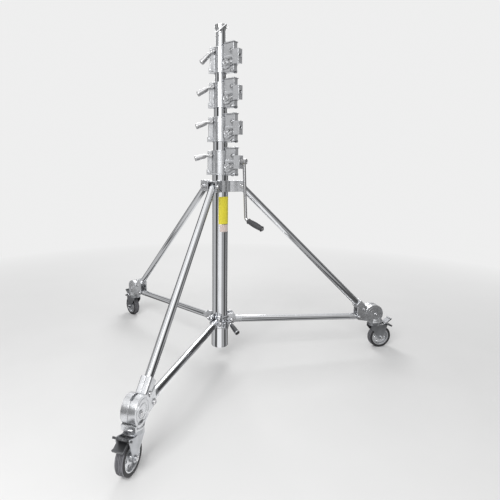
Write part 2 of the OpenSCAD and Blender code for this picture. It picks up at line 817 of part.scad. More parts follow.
module tyre(i) {
    half = wheel_width / 2;
    color([0.1, 0.1, 0.1]) at_caster(i) translate([caster_trail, 0, wheel_r]) rotate([90, 0, 0])
        rotate_extrude() polygon([[rim_r + run, -half + 2.5], [rim_r + 5, -half],
            [wheel_r - 2.5, -half + 1.5], [wheel_r, -half + 6], [wheel_r, half - 6],
            [wheel_r - 2.5, half - 1.5], [rim_r + 5, half], [rim_r + run, half - 2.5]]);
}

// brake pedal: two treads on one hub; the lower one brakes and the upper one frees the wheel
module brake_pedal(i) {
    w = fork_in - side;
    color("silver") at_caster(i) translate([pedal_x, 0, pedal_z]) {
        difference() {
            union() {
                rod_y(-w, w, 8);
                rotate([0, -38, 0]) block(0, 46, -w + 3, w - 3, -2.5, 2.5);
                rotate([0, -38, 0]) block(38, 46, -w + 3, w - 3, -2.5, 5);
                rotate([0, 24, 0]) block(0, 46, -w + 3, w - 3, -2, 3);
                rotate([0, 24, 0]) block(40, 46, -w + 3, w - 3, -2, 7);
            }
            rod_y(-FAR, FAR, pedal_pin_r + run);
        }
        rod_y(-fork_out - 4, fork_out + 4, pedal_pin_r);
    }
}

column_tube();
column_foot_cap();
leg_hub();
hub_pivot_bolts();
for (k = [1:RISERS]) {
    collar(k);
    drive_housing(k);
    riser_tube(k);
    rack(k);
    drive_gear(k);
    worm_shaft(k);
    clamp_lever(k);
}
top_socket();
top_lock_screw();
crank_arm();
crank_grip();
strut_collar();
strut_collar_bolts();
strut_collar_lever();
for (i = [0:2]) {
    strut(i);
    leg_tube(i);
    knuckle(i);
    caster_fork(i);
    wheel_core(i);
    tyre(i);
    brake_pedal(i);
}
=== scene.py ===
"""Dresses the crank stand: finishes, labels, fasteners and wheel detail, in a plain studio."""
import json
import math

import bmesh
import bpy
from mathutils import Matrix, Vector

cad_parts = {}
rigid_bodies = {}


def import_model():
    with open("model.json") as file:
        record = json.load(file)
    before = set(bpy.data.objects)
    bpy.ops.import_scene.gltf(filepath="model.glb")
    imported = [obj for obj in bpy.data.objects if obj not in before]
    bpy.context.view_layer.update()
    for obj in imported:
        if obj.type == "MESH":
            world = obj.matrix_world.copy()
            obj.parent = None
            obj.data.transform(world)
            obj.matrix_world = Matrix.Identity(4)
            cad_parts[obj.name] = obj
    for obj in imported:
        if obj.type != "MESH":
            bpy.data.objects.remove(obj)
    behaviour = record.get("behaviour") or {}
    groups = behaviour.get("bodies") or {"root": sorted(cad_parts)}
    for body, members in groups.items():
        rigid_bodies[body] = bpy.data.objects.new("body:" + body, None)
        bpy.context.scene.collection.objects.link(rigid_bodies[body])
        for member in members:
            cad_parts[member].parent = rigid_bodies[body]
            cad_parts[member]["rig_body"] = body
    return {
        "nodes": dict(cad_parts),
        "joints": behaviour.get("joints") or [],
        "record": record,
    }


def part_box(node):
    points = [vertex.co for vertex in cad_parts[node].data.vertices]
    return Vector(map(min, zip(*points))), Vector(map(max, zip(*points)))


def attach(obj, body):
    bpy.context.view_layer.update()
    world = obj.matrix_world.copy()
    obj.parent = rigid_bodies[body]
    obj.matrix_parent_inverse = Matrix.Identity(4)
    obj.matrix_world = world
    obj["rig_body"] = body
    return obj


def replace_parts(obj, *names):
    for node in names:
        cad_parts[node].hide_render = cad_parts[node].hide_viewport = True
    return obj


bl_info = {
    "name": "Crank stand finishes",
    "version": (1, 0, 0),
    "blender": (4, 5, 0),
    "location": "View3D > Sidebar > Crank stand",
    "description": "Finishes a wound stand: chrome, castings, rubber, labels, fasteners and a studio",
    "category": "Object",
}

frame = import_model()
NODES = frame["nodes"]
JOINTS = {j["name"]: j for j in frame["joints"]}
LEG_AZIMUTH = {"a": -120, "b": 120, "c": 0}
COLUMN_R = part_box("column_tube")[1].x
# pivots and bolts of leg c, which lies along x; the other two legs are turned copies of it
LEG_PIVOT = Vector((0.108, 0, 0.918))
LEG_LEAN = math.radians(45.93)
CLAMP_AT = 0.984
CLAMP_BOLT = LEG_PIVOT + CLAMP_AT * Vector((math.sin(LEG_LEAN), 0, -math.cos(LEG_LEAN)))
KNUCKLE_BOLT = Vector((0.8876, 0, 0.199))
KNUCKLE_MIDDLE = Vector((0.8746, 0, 0.203))
KNUCKLE_HALF = 0.0280
# how far each lever's arm dips, how far it lies beside its pivot and where its sleeve starts
LOCK_DIP, LOCK_ASIDE, LOCK_SLEEVE = math.radians(27), 0.0233, 0.0160
LEVER_DIPS, LEVER_ASIDE, LEVER_SLEEVE = (13, 20, 28, 45), 0.0243, 0.0240
# the cheeks at the struts' inner ends: reach, height, roundness and thickness
LUG_IN, LUG_OUT, LUG_LOW, LUG_HIGH, LUG_ROUND = 0.0360, 0.0800, 0.2030, 0.2600, 0.0185
LUG_NEAR, LUG_FAR = 0.0184, 0.0256
# a ferrule's two ends from the strut's pivot, and the rims' places from a collar's foot and top
FERRULE_IN, FERRULE_OUT = 0.0200, 0.0560
RIM_FROM_FOOT, RIM_FROM_TOP = 0.0035, 0.0055
# screw heads at the pivots and clamps: distance from the middle, radius and height
HUB_HEAD = 0.0241, 0.0112, 0.0076
COLLAR_HEAD = 0.0254, 0.0102, 0.0062
FOLD_HEAD = 0.0252, 0.0104, 0.0064
CLAMP_HEAD = 0.0230, 0.0084, 0.0054
BODY_HEAD = KNUCKLE_HALF, 0.0084, 0.0054
WASHER = 0.0012
# a tyre's half width, its depth over the rim and its grooves; an axle nut's face, flats, height and bolt
TYRE_HALF, TYRE_DEPTH = 0.0175, 0.0145
GROOVE_HALF, GROOVE_DEPTH = 0.0011, 0.0012
AXLE_FACE, AXLE_NUT = 0.0271, (0.016, 0.0062, 0.0045)
# a drive's faces, from its gear's middle or along its worm
COVER_FACE, INPUT_FACE, BOX_FACE = 0.0190, 0.0770, 0.0140
DRIVE_AZIMUTH = math.radians(-50)
# bosses on a drive's side: reach, rise, radius and height
BOSSES = ((0.0262, -0.0020, 0.0162, 0.0095), (0.0300, 0.0480, 0.0090, 0.0062),
          (0.0320, -0.0400, 0.0085, 0.0062))
# the crank: its rod's plane, length and lean, its hub, and its grip
CRANK_OUT, CRANK_LENGTH, CRANK_LEAN = 0.095, 0.272, math.radians(3)
CRANK_ROD_R, BEND_R = 0.0075, 0.020
HUB_HALF, NECK_START = 0.0135, 0.0605
GRIP_DIP = math.radians(22)
GRIP_START, GRIP_END, GRIP_R = 0.0163, 0.1020, 0.0145
# the labels: corner, thickness and strips; the small one's edges below the large one, and its share
LABEL_CORNER, LABEL_THICK, LABEL_CUTS = 0.004, 0.0003, 20
SMALL_LABEL_HIGH, SMALL_LABEL_LOW, SMALL_LABEL_SHARE = 0.003, 0.038, 0.82
# lamps: name, place, height of the point they face, size and power
LAMPS = (("key_light", (-1.8, -2.6, 2.9), 0.8, 1.6, 70),
         ("fill_light", (-0.95, -2.8, 2.1), 0.8, 1.3, 22),
         ("back_light", (0.6, 2.8, 2.6), 0.9, 1.5, 45))
CAMERA_PLACE = (-0.4064, -2.0897, 1.0074)
CAMERA_TURN = (math.radians(79), 0, math.radians(-10.05))
CAMERA_LENS, CAMERA_SHIFT = 30.46, 0.0739
FLOOR_HALF = 30
BACKDROP = (0.86, 0.86, 0.86, 1)
# what metal mirrors, once round the stand: softboxes and dark cards by direction; the world shows them, and the floor
# glows with them as a painted reflection
CARDS = ((0.0, 0.60), (0.025, 0.60), (0.045, 0.06), (0.122, 0.08), (0.138, 1.0), (0.282, 1.0),
         (0.298, 0.12), (0.318, 0.42), (0.372, 0.42), (0.388, 0.06), (0.455, 0.07), (0.475, 0.40),
         (0.520, 0.40), (0.540, 0.06), (0.62, 0.08), (0.65, 0.80), (0.79, 0.80), (0.815, 0.08),
         (0.865, 0.08), (0.880, 0.55), (0.925, 0.55), (0.935, 0.12), (0.948, 0.12), (0.958, 0.60),
         (1.0, 0.60))


def legs():
    """Each leg's letter, the direction across it, and the turn from leg c's place to its own."""
    for leg, azimuth in LEG_AZIMUTH.items():
        turn = Matrix.Rotation(math.radians(azimuth), 4, "Z")
        yield leg, turn @ Vector((0, 1, 0)), turn


def pivot(joint):
    """The point of a joint at rest."""
    return Vector(JOINTS[joint]["pos_m"])


def axis(joint):
    """The direction of a joint's axis at rest."""
    return Vector(JOINTS[joint]["axis"]).normalized()


def colour_of(name, what, *default):
    """A colour to set in the panel."""
    return bpy.props.FloatVectorProperty(
        name=name, description=f"Colour of {what}", subtype="COLOR", size=3, min=0, max=1,
        default=default)


class CrankStandColours(bpy.types.PropertyGroup):
    """Colours of the stand."""

    chrome: colour_of("Chrome", "the chromed tubes", 0.72, 0.73, 0.75)
    casting: colour_of("Casting", "the blasted alloy castings", 0.68, 0.69, 0.71)
    zinc: colour_of("Zinc", "the zinc plated forks and pedals", 0.44, 0.45, 0.47)
    steel: colour_of("Steel", "the polished steel fittings", 0.62, 0.62, 0.63)
    rubber: colour_of("Rubber", "the tyres", 0.022, 0.022, 0.024)
    grip: colour_of("Grip", "the crank's grip", 0.028, 0.028, 0.030)
    label: colour_of("Label", "the large label", 0.80, 0.70, 0.05)
    small_label: colour_of("Small label", "the small label", 0.72, 0.60, 0.55)


class CrankStandSizes(bpy.types.PropertyGroup):
    """Sizes of the pieces added to the CAD parts."""

    label_low: bpy.props.FloatProperty(
        name="Label foot", description="Height of the large label's lower edge",
        unit="LENGTH", default=0.731)
    label_high: bpy.props.FloatProperty(
        name="Label head", description="Height of the large label's upper edge",
        unit="LENGTH", default=0.867)
    label_angle: bpy.props.FloatProperty(
        name="Label place", description="Direction that the labels face",
        subtype="ANGLE", default=math.radians(-66))
    label_span: bpy.props.FloatProperty(
        name="Label span", description="Width of the large label round the column",
        unit="LENGTH", default=0.064)
    cast_edge: bpy.props.FloatProperty(
        name="Cast edge", description="Width of the rounding on the castings' edges",
        unit="LENGTH", default=0.0012)
    # how much the castings' rounded edges are lightened: partly rubbed wear, partly a painted highlight
    edge_wear_and_highlight: bpy.props.FloatProperty(
        name="Edge wear and highlight", description="How much brighter the castings' edges are",
        min=0, max=1, default=0.35)


class Sock:
    """A socket in a node tree; arithmetic on it adds Math nodes."""

    def __init__(self, tree, out):
        self.tree, self.out = tree, out

    def __add__(self, other):
        return self.tree.math("ADD", self, other)

    def __radd__(self, other):
        return self.tree.math("ADD", other, self)

    def __sub__(self, other):
        return self.tree.math("SUBTRACT", self, other)

    def __rsub__(self, other):
        return self.tree.math("SUBTRACT", other, self)

    def __mul__(self, other):
        return self.tree.math("MULTIPLY", self, other)

    def __truediv__(self, other):
        return self.tree.math("DIVIDE", self, other)

    def clamp(self):
        """The value held between 0 and 1."""
        node = self.tree.node("ShaderNodeClamp", {}, {"Value": self})
        return Sock(self.tree, node.outputs[0])


class NodeTree:
    """The node tree of a material or of the world."""

    def __init__(self, owner, output, coordinates):
        self.owner = owner
        owner.use_nodes = True
        self.nodes, self.links = owner.node_tree.nodes, owner.node_tree.links
        self.nodes.clear()
        self.output = self.node(output, {}, {})
        self.place = Sock(self, self.node("ShaderNodeTexCoord", {}, {}).outputs[coordinates])

    def node(self, kind, settings, inputs):
        """A new node with its settings, and its inputs linked or set."""
        made = self.nodes.new(kind)
        for key, value in settings.items():
            if key == "stops":
                elements = made.color_ramp.elements
                while len(elements) < len(value):
                    elements.new(1)
                for element, (position, level) in zip(elements, value):
                    element.position = position
                    element.color = (level, level, level, 1)
            else:
                setattr(made, key, value)
        for key, value in inputs.items():
            if isinstance(value, Sock):
                self.links.new(value.out, made.inputs[key])
            else:
                made.inputs[key].default_value = value
        return made

    def math(self, operation, *values):
        made = self.node("ShaderNodeMath", {"operation": operation}, dict(enumerate(values)))
        return Sock(self, made.outputs[0])

    def blend(self, factor, first, second):
        """One shader mixed into another."""
        return self.node("ShaderNodeMixShader", {}, {
            0: factor, 1: Sock(self, first.outputs[0]), 2: Sock(self, second.outputs[0])})

    def stretched(self, x, y, z):
        scaled = self.node("ShaderNodeMapping", {}, {"Vector": self.place, "Scale": (x, y, z)})
        return Sock(self, scaled.outputs[0])

    def noise(self, scale, detail=3.0, roughness=0.5, place=None):
        made = self.node("ShaderNodeTexNoise", {}, {
            "Vector": place or self.place, "Scale": scale, "Detail": detail, "Roughness": roughness})
        return Sock(self, made.outputs[0])

    def cells(self, scale):
        made = self.node("ShaderNodeTexVoronoi", {}, {"Vector": self.place, "Scale": scale})
        return Sock(self, made.outputs[0])

    def ramp(self, value, *stops):
        made = self.node("ShaderNodeValToRGB", {"stops": stops}, {0: value})
        return Sock(self, made.outputs[0])

    def mix(self, factor, first, second):
        """One colour mixed into another."""
        first, second = (value if isinstance(value, Sock) else (*value[:3], 1)
                         for value in (first, second))
        made = self.node("ShaderNodeMix", {"data_type": "RGBA"}, {0: factor, 6: first, 7: second})
        return Sock(self, made.outputs[2])

    def rounded(self, radius):
        """The normal with its edges rounded."""
        made = self.node("ShaderNodeBevel", {"samples": 6}, {"Radius": radius})
        return Sock(self, made.outputs[0])

    def edges(self, radius, gain=5.0):
        """1 on an edge, 0 on a flat."""
        geometry = self.node("ShaderNodeNewGeometry", {}, {})
        dot = self.node("ShaderNodeVectorMath", {"operation": "DOT_PRODUCT"}, {
            0: self.rounded(radius), 1: Sock(self, geometry.outputs["Normal"])})
        return ((1 - Sock(self, dot.outputs["Value"])) * gain).clamp()

    def hollow(self, distance):
        """1 in a hollow, 0 in the open."""
        made = self.node("ShaderNodeAmbientOcclusion", {"samples": 6}, {"Distance": distance})
        return self.ramp(Sock(self, made.outputs["AO"]), (0.45, 1), (0.92, 0))

    def bump(self, height, distance, strength=1.0, normal=None):
        values = {"Height": height, "Distance": distance, "Strength": strength}
        if normal:
            values["Normal"] = normal
        made = self.node("ShaderNodeBump", {}, values)
        return Sock(self, made.outputs[0])

    def surface(self, **values):
        """Ends the tree in a Principled shader, and gives the finished material."""
        shader = self.node("ShaderNodeBsdfPrincipled", {}, {
            key.replace("_", " "): value for key, value in values.items()})
        self.links.new(shader.outputs[0], self.output.inputs[0])
        return self.owner


def finish(name):
    """A new material's tree, read in Object coordinates."""
    return NodeTree(bpy.data.materials.new(name), "ShaderNodeOutputMaterial", "Object")


def shade(colour, factor):
    """A colour made lighter or darker."""
    return tuple(min(1.0, channel * factor) for channel in colour[:3])


def chrome_finish(name, colour):
    """Polished plating: faint long scratches, handling smears and a slow wave in the surface."""
    made = finish(name)
    smear = made.noise(9, 4, 0.6)
    scratch = made.noise(900, 2, 0.7, made.stretched(1, 1, 0.03))
    wave = made.noise(14, 1, 0.4)
    rough = 0.045 + made.ramp(smear, (0.42, 0), (0.75, 1)) * 0.07 + scratch * 0.03
    tint = made.mix(made.ramp(smear, (0.35, 0), (0.8, 1)), colour, shade(colour, 0.9))
    normal = made.bump(wave + scratch * 0.02, 0.0006, 0.35)
    return made.surface(Base_Color=tint, Metallic=1.0, Roughness=rough, Normal=normal)


def casting_finish(name, colour, wear_and_highlight):
    """Tumbled alloy casting: fine grain, painted shade that darkens the hollows, and bright rubbed edges, partly wear
    and partly a painted highlight.
    """
    made = finish(name)
    grain = made.noise(1500, 3, 0.6)
    cloud = made.noise(22, 4, 0.55)
    pits = made.ramp(made.cells(420), (0.0, 1), (0.22, 0))
    edge = made.edges(0.0012)
    body = made.mix(made.ramp(cloud, (0.35, 0), (0.7, 1)), shade(colour, 0.86), colour)
    # painted shade: the colour darkens towards a deep grey in hollows and crevices, found by ambient occlusion
    painted_hollow_shade = made.mix(made.hollow(0.008) * 0.75, body, shade(colour, 0.22))
    # rounded edges lightened: partly rubbed wear, partly a painted highlight
    edge_lightened = made.mix(edge * wear_and_highlight, made.mix(pits * 0.35, painted_hollow_shade, shade(colour, 0.6)), shade(colour, 1.35))
    rough = 0.19 + cloud * 0.12 + grain * 0.05 - edge * 0.06
    normal = made.bump(grain * 0.5 + cloud - pits * 0.3, 0.0002, 0.3, made.rounded(0.0011))
    return made.surface(Base_Color=edge_lightened, Metallic=0.82, Roughness=rough, Normal=normal)


def zinc_finish(name, colour):
    """Bright zinc plate on pressed sheet, with a faint spangle and rolled edges."""
    made = finish(name)
    spangle = made.cells(160)
    cloud = made.noise(35, 3, 0.5)
    edge = made.edges(0.0008)
    body = made.mix(made.ramp(cloud, (0.3, 0), (0.75, 1)), shade(colour, 0.8), shade(colour, 1.08))
    edge_lightened = made.mix(edge * 0.5, body, shade(colour, 1.4))
    rough = 0.24 + spangle * 0.12 + cloud * 0.08
    normal = made.bump(cloud + spangle * 0.3, 0.0002, 0.35, made.rounded(0.0008))
    return made.surface(Base_Color=edge_lightened, Metallic=1.0, Roughness=rough, Normal=normal)


def steel_finish(name, colour, low=0.16, high=0.3):
    """Turned and polished steel with small marks."""
    made = finish(name)
    mark = made.noise(120, 4, 0.65)
    line = made.noise(700, 2, 0.6, made.stretched(1, 0.05, 1))
    edge = made.edges(0.0007)
    tint = made.mix(made.ramp(mark, (0.4, 0), (0.75, 1)), colour, shade(colour, 0.82))
    edge_lightened = made.mix(edge * 0.4, tint, shade(colour, 1.3))
    rough = low + (mark * 0.7 + line * 0.3) * (high - low)
    normal = made.bump(mark + line * 0.2, 0.00008, 0.4, made.rounded(0.0007))
    return made.surface(Base_Color=edge_lightened, Metallic=1.0, Roughness=rough, Normal=normal)


def rubber_finish(name, colour):
    """Tyre rubber: fine pores, dust on the tread and a dull sheen."""
    made = finish(name)
    pore = made.noise(1800, 2, 0.6)
    dust = made.noise(60, 5, 0.7)
    tint = made.mix(made.ramp(dust, (0.5, 0), (0.85, 1)) * 0.5, colour, shade(colour, 3.5))
    rough = 0.52 + dust * 0.2
    normal = made.bump(pore + dust, 0.0003, 0.4, made.rounded(0.001))
    return made.surface(Base_Color=tint, Metallic=0.0, Roughness=rough, Normal=normal)


def plastic_finish(name, colour):
    """Moulded plastic with a fine spark grain and hand polish."""
    made = finish(name)
    spark = made.noise(2200, 2, 0.5)
    polish = made.noise(40, 3, 0.5)
    tint = made.mix(polish, shade(colour, 0.85), shade(colour, 1.2))
    rough = 0.34 + polish * 0.18
    normal = made.bump(spark, 0.0001, 0.6, made.rounded(0.0008))
    return made.surface(Base_Color=tint, Metallic=0.0, Roughness=rough, Normal=normal)


def vinyl_finish(name, colour):
    """Self-adhesive label: even ink, rubbed at random and slightly rippled."""
    made = finish(name)
    rub = made.noise(70, 5, 0.7)
    ripple = made.noise(25, 2, 0.5)
    tint = made.mix(made.ramp(rub, (0.55, 0), (0.8, 1)) * 0.45, colour, shade(colour, 0.72))
    rough = 0.30 + rub * 0.2
    normal = made.bump(ripple, 0.0004, 0.5)
    return made.surface(Base_Color=tint, Metallic=0.0, Roughness=rough, Normal=normal)


def dress(node, material):
    """Gives a CAD node one material."""
    slots = NODES[node].data.materials
    slots.clear()
    slots.append(material)


def add_piece(name, work, material, body, crease=35):
    """A new piece that rides on a body, with its place in its mesh."""
    mesh = bpy.data.meshes.new(name)
    bmesh.ops.recalc_face_normals(work, faces=work.faces)
    work.to_mesh(mesh)
    work.free()
    mesh.polygons.foreach_set("use_smooth", [True] * len(mesh.polygons))
    mesh.set_sharp_from_angle(angle=math.radians(crease))
    mesh.materials.append(material)
    made = bpy.data.objects.new(name, mesh)
    bpy.context.scene.collection.objects.link(made)
    made.modifiers.new("even_shading", "WEIGHTED_NORMAL").keep_sharp = True
    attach(made, body)
    return made


def upright(origin, direction):
    """The matrix that takes the z axis to a line through a point."""
    turn = Vector((0, 0, 1)).rotation_difference(Vector(direction)).to_matrix().to_4x4()
    return Matrix.Translation(origin) @ turn


def turned(outline, place, steps=48):
    """A solid of revolution from a closed outline of radii and heights."""
    work = bmesh.new()
    corners = [work.verts.new((radius, 0, height)) for radius, height in outline]
    lines = [work.edges.new(pair) for pair in zip(corners, corners[1:])]
    if min(radius for radius, height in (outline[0], outline[-1])) > 0:
        lines.append(work.edges.new((corners[-1], corners[0])))
    bmesh.ops.spin(work, geom=corners + lines, cent=(0, 0, 0), axis=(0, 0, 1),
                   angle=math.tau, steps=steps, use_merge=True)
    bmesh.ops.remove_doubles(work, verts=work.verts, dist=1e-6)
    bmesh.ops.transform(work, matrix=place, verts=work.verts)
    return work


def joined(parts):
    """One bmesh from several."""
    whole = bmesh.new()
    for part in parts:
        mesh = bpy.data.meshes.new("part")
        part.to_mesh(mesh)
        whole.from_mesh(mesh)
        part.free()
        bpy.data.meshes.remove(mesh)
    return whole


def bevel(work, edges, width, segments=3):
    """Rounds some edges."""
    bmesh.ops.bevel(work, geom=edges, offset=width, segments=segments, profile=0.5,
                    affect="EDGES", material=-1, clamp_overlap=True)


def hex_recess(work, face, flat, depth):
    """Sinks a hexagon socket into a round face."""
    middle = face.calc_center_median()
    bmesh.ops.inset_individual(work, faces=[face], thickness=0.0005, use_even_offset=True)
    normal = face.normal.copy()
    across = normal.orthogonal().normalized()
    beside = normal.cross(across)
    for corner in face.verts:
        away = corner.co - middle
        angle = math.atan2(away.dot(beside), away.dot(across))
        reach = flat / 2 / math.cos((angle + math.pi / 6) % (math.pi / 3) - math.pi / 6)
        corner.co = middle + (across * math.cos(angle) + beside * math.sin(angle)) * reach
    sunk = bmesh.ops.extrude_discrete_faces(work, faces=[face])["faces"]
    bmesh.ops.translate(work, vec=normal * -depth, verts=sunk[0].verts)


def socket_head(place, radius, height, flat):
    """A domed screw head with a hexagon socket, standing on the plane z = 0."""
    work = bmesh.new()
    bmesh.ops.create_cone(work, cap_ends=True, segments=24, radius1=radius, radius2=radius, depth=height)
    bmesh.ops.translate(work, vec=(0, 0, height / 2), verts=work.verts)
    top = max(work.faces, key=lambda face: face.calc_center_median().z)
    bevel(work, list(top.edges), height * 0.35)
    top = max(work.faces, key=lambda face: (len(face.verts), face.calc_center_median().z))
    hex_recess(work, top, flat, height * 0.6)
    bmesh.ops.transform(work, matrix=place, verts=work.verts)
    return work


def hex_nut(place, flat, height, bolt):
    """A chamfered nut on a washer, with the bolt's rounded end standing out of it."""
    work = bmesh.new()
    radius = flat / math.sqrt(3)
    bmesh.ops.create_cone(work, cap_ends=True, segments=6, radius1=radius, radius2=radius, depth=height)
    bmesh.ops.translate(work, vec=(0, 0, height / 2 + WASHER), verts=work.verts)
    bevel(work, list(work.edges), flat * 0.04, 2)
    bmesh.ops.transform(work, matrix=place, verts=work.verts)
    washer = turned([(0, 0), (radius * 1.18, 0), (radius * 1.18, WASHER), (0, WASHER)], place, 32)
    end = height + WASHER
    stud = turned([(0, end - 0.001), (bolt, end - 0.001), (bolt, end + 0.0012),
                   (bolt * 0.7, end + 0.0022), (0, end + 0.0022)], place, 24)
    return joined([work, washer, stud])


class STAND_OT_finishes(bpy.types.Operator):
    """Give every CAD part its finish"""

    bl_idname = "stand.finishes"
    bl_label = "Finish the parts"

    def execute(self, context):
        colours, sizes = context.scene.stand_colours, context.scene.stand_sizes
        chrome = chrome_finish("chromed_tube", colours.chrome)
        casting = casting_finish("blasted_casting", colours.casting, sizes.edge_wear_and_highlight)
        zinc = zinc_finish("zinc_plate", colours.zinc)
        bright = steel_finish("polished_fittings", colours.steel)
        crank = steel_finish("crank_plating", shade(colours.steel, 0.85), 0.2, 0.34)
        gear = steel_finish("gear_steel", shade(colours.steel, 0.6), 0.3, 0.45)
        rack = steel_finish("rack_steel", shade(colours.steel, 0.2), 0.4, 0.55)
        core = casting_finish("wheel_alloy", shade(colours.casting, 1.05), sizes.edge_wear_and_highlight)
        rubber = rubber_finish("tyre_rubber", colours.rubber)
        rubber_finish("tread_rubber", shade(colours.rubber, 6))
        pedal = zinc_finish("pedal_plate", shade(colours.zinc, 0.3))
        grip = plastic_finish("grip_plastic", colours.grip)
        finish_of = {"chromed_tube": chrome, "cast_alloy": casting, "tyre": rubber,
                     "wheel_alloy": core, "zinc_plate": zinc, "gear_steel": gear,
                     "grip_plastic": grip, "crank_steel": crank, "bright_fittings": bright}
        for part in frame["record"]["subparts"]:
            dress(part["node"], finish_of[part["material_slot"]])
        for leg in LEG_AZIMUTH:
            dress(f"brake_pedal_{leg}", pedal)
        for number in range(1, 5):
            dress(f"rack_{number}", rack)
        return {"FINISHED"}


class STAND_OT_castings(bpy.types.Operator):
    """Round the edges of the castings, the forks and the levers"""

    bl_idname = "stand.castings"
    bl_label = "Round the castings"

    def execute(self, context):
        width = context.scene.stand_sizes.cast_edge
        for node in ("leg_hub", "strut_collar", "top_socket"):
            self.rounded(node, width)
        for number in range(1, 5):
            self.rounded(f"collar_{number}", width)
            self.rounded(f"drive_housing_{number}", width)
            self.rounded(f"clamp_lever_{number}", width)
        for leg in LEG_AZIMUTH:
            self.rounded(f"knuckle_{leg}", width)
            self.rounded(f"caster_fork_{leg}", width * 0.7)
            self.rounded(f"brake_pedal_{leg}", width * 0.7)
        self.rounded("strut_collar_lever", width)
        self.collar_rims()
        self.strut_lugs(width)
        self.strut_ends()
        self.lever_sheaths()
        for leg, side, place in legs():
            self.knuckle_shapes(leg, side, place)
        return {"FINISHED"}

    def collar_rims(self):
        """A rolled rim at each end of every collar."""
        casting = bpy.data.materials["blasted_casting"]
        for number in range(1, 5):
            low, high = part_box(f"collar_{number}")
            radius = high.x
            parts = []
            for height in (low.z + RIM_FROM_FOOT, high.z - RIM_FROM_TOP):
                below = [(radius - 0.001, -0.0028), (radius + 0.0008, -0.0028),
                         (radius + 0.0018, -0.0014)]
                above = [(reach, -rise) for reach, rise in reversed(below)]
                parts.append(turned(below + above, Matrix.Translation((0, 0, height)), 72))
            add_piece(f"collar_rims_{number}", joined(parts), casting,
                      NODES[f"collar_{number}"]["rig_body"])

    def strut_lugs(self, width):
        """The tall cheeks that carry the struts' inner ends."""
        parts = []
        for _, _, place in legs():
            for way in (1, -1):
                parts.append(self.lug(place, way * LUG_NEAR, way * LUG_FAR, width))
        add_piece("strut_lugs", joined(parts), bpy.data.materials["blasted_casting"], "strut_slide")

    def lug(self, place, near, far, width):
        """One cheek: a plate with round outer corners and rounded edges."""
        work = bmesh.new()
        bmesh.ops.create_grid(work, x_segments=1, y_segments=1, size=0.5)
        reach = LUG_OUT - LUG_IN
        bmesh.ops.scale(work, vec=(reach, LUG_HIGH - LUG_LOW, 1), verts=work.verts)
        middle = ((LUG_OUT + LUG_IN) / 2, (LUG_HIGH + LUG_LOW) / 2, 0)
        bmesh.ops.translate(work, vec=middle, verts=work.verts)
        outer = [corner for corner in work.verts if corner.co.x > LUG_IN + reach / 2]
        bmesh.ops.bevel(work, geom=outer, offset=LUG_ROUND, segments=8, profile=0.5, affect="VERTICES",
                        material=-1)
        made = bmesh.ops.extrude_face_region(work, geom=work.faces[:])["geom"]
        thick = [item for item in made if isinstance(item, bmesh.types.BMVert)]
        bmesh.ops.translate(work, vec=(0, 0, far - near), verts=thick)
        rims = [edge for edge in work.edges if edge.calc_face_angle(0) > 1.2]
        bmesh.ops.recalc_face_normals(work, faces=work.faces)
        bevel(work, rims, width, 2)
        upend = Matrix(((1, 0, 0, 0), (0, 0, 1, near), (0, 1, 0, 0), (0, 0, 0, 1)))
        bmesh.ops.transform(work, matrix=place @ upend, verts=work.verts)
        return work

    def strut_ends(self):
        """The cast ferrules on both ends of every strut."""
        for leg in LEG_AZIMUTH:
            start, end = pivot(f"strut_fold_{leg}"), pivot(f"leg_fold_{leg}")
            length = (end - start).length
            way = (end - start).normalized()
            parts = []
            for low, high in ((FERRULE_IN, FERRULE_OUT), (length - FERRULE_OUT, length - FERRULE_IN)):
                parts.append(turned([(0.0170, low), (0.0177, low), (0.0181, low + 0.0006),
                                     (0.0181, high - 0.0006), (0.0177, high), (0.0170, high)],
                                    upright(start, way), 48))
            add_piece(f"strut_ferrules_{leg}", joined(parts), bpy.data.materials["blasted_casting"],
                      f"strut_{leg}")

    def lever_sheaths(self):
        """The thick flared sleeves on the arms of the five levers."""
        side = -axis("strut_lock_turn")
        outward = side.cross(Vector((0, 0, 1)))
        arm = outward * math.cos(LOCK_DIP) - Vector((0, 0, 1)) * math.sin(LOCK_DIP)
        work = self.sheath(pivot("strut_lock_turn") + side * LOCK_ASIDE, arm, LOCK_SLEEVE)
        add_piece("strut_lever_sheath", work, bpy.data.materials["pedal_plate"], "strut_lock")
        for number, dip in enumerate(LEVER_DIPS, 1):
            dip = math.radians(dip)
            start = pivot(f"clamp_lever_{number}_turn") - Vector((0, LEVER_ASIDE, 0))
            work = self.sheath(start, Vector((-math.cos(dip), 0, -math.sin(dip))), LEVER_SLEEVE)
            add_piece(f"clamp_lever_sheath_{number}", work, bpy.data.materials["polished_fittings"],
                      f"lever_{number}")

    def sheath(self, start, arm, low):
        """A sleeve that thickens to the flared end of a lever, with a dished end."""
        return turned([(0, low), (0.0085, low), (0.0108, low + 0.0060), (0.0120, 0.0480),
                       (0.0124, 0.0650), (0.0129, 0.0690), (0.0129, 0.0768), (0.0120, 0.0778),
                       (0.0096, 0.0778), (0.0088, 0.0768), (0, 0.0768)], upright(start, arm), 40)

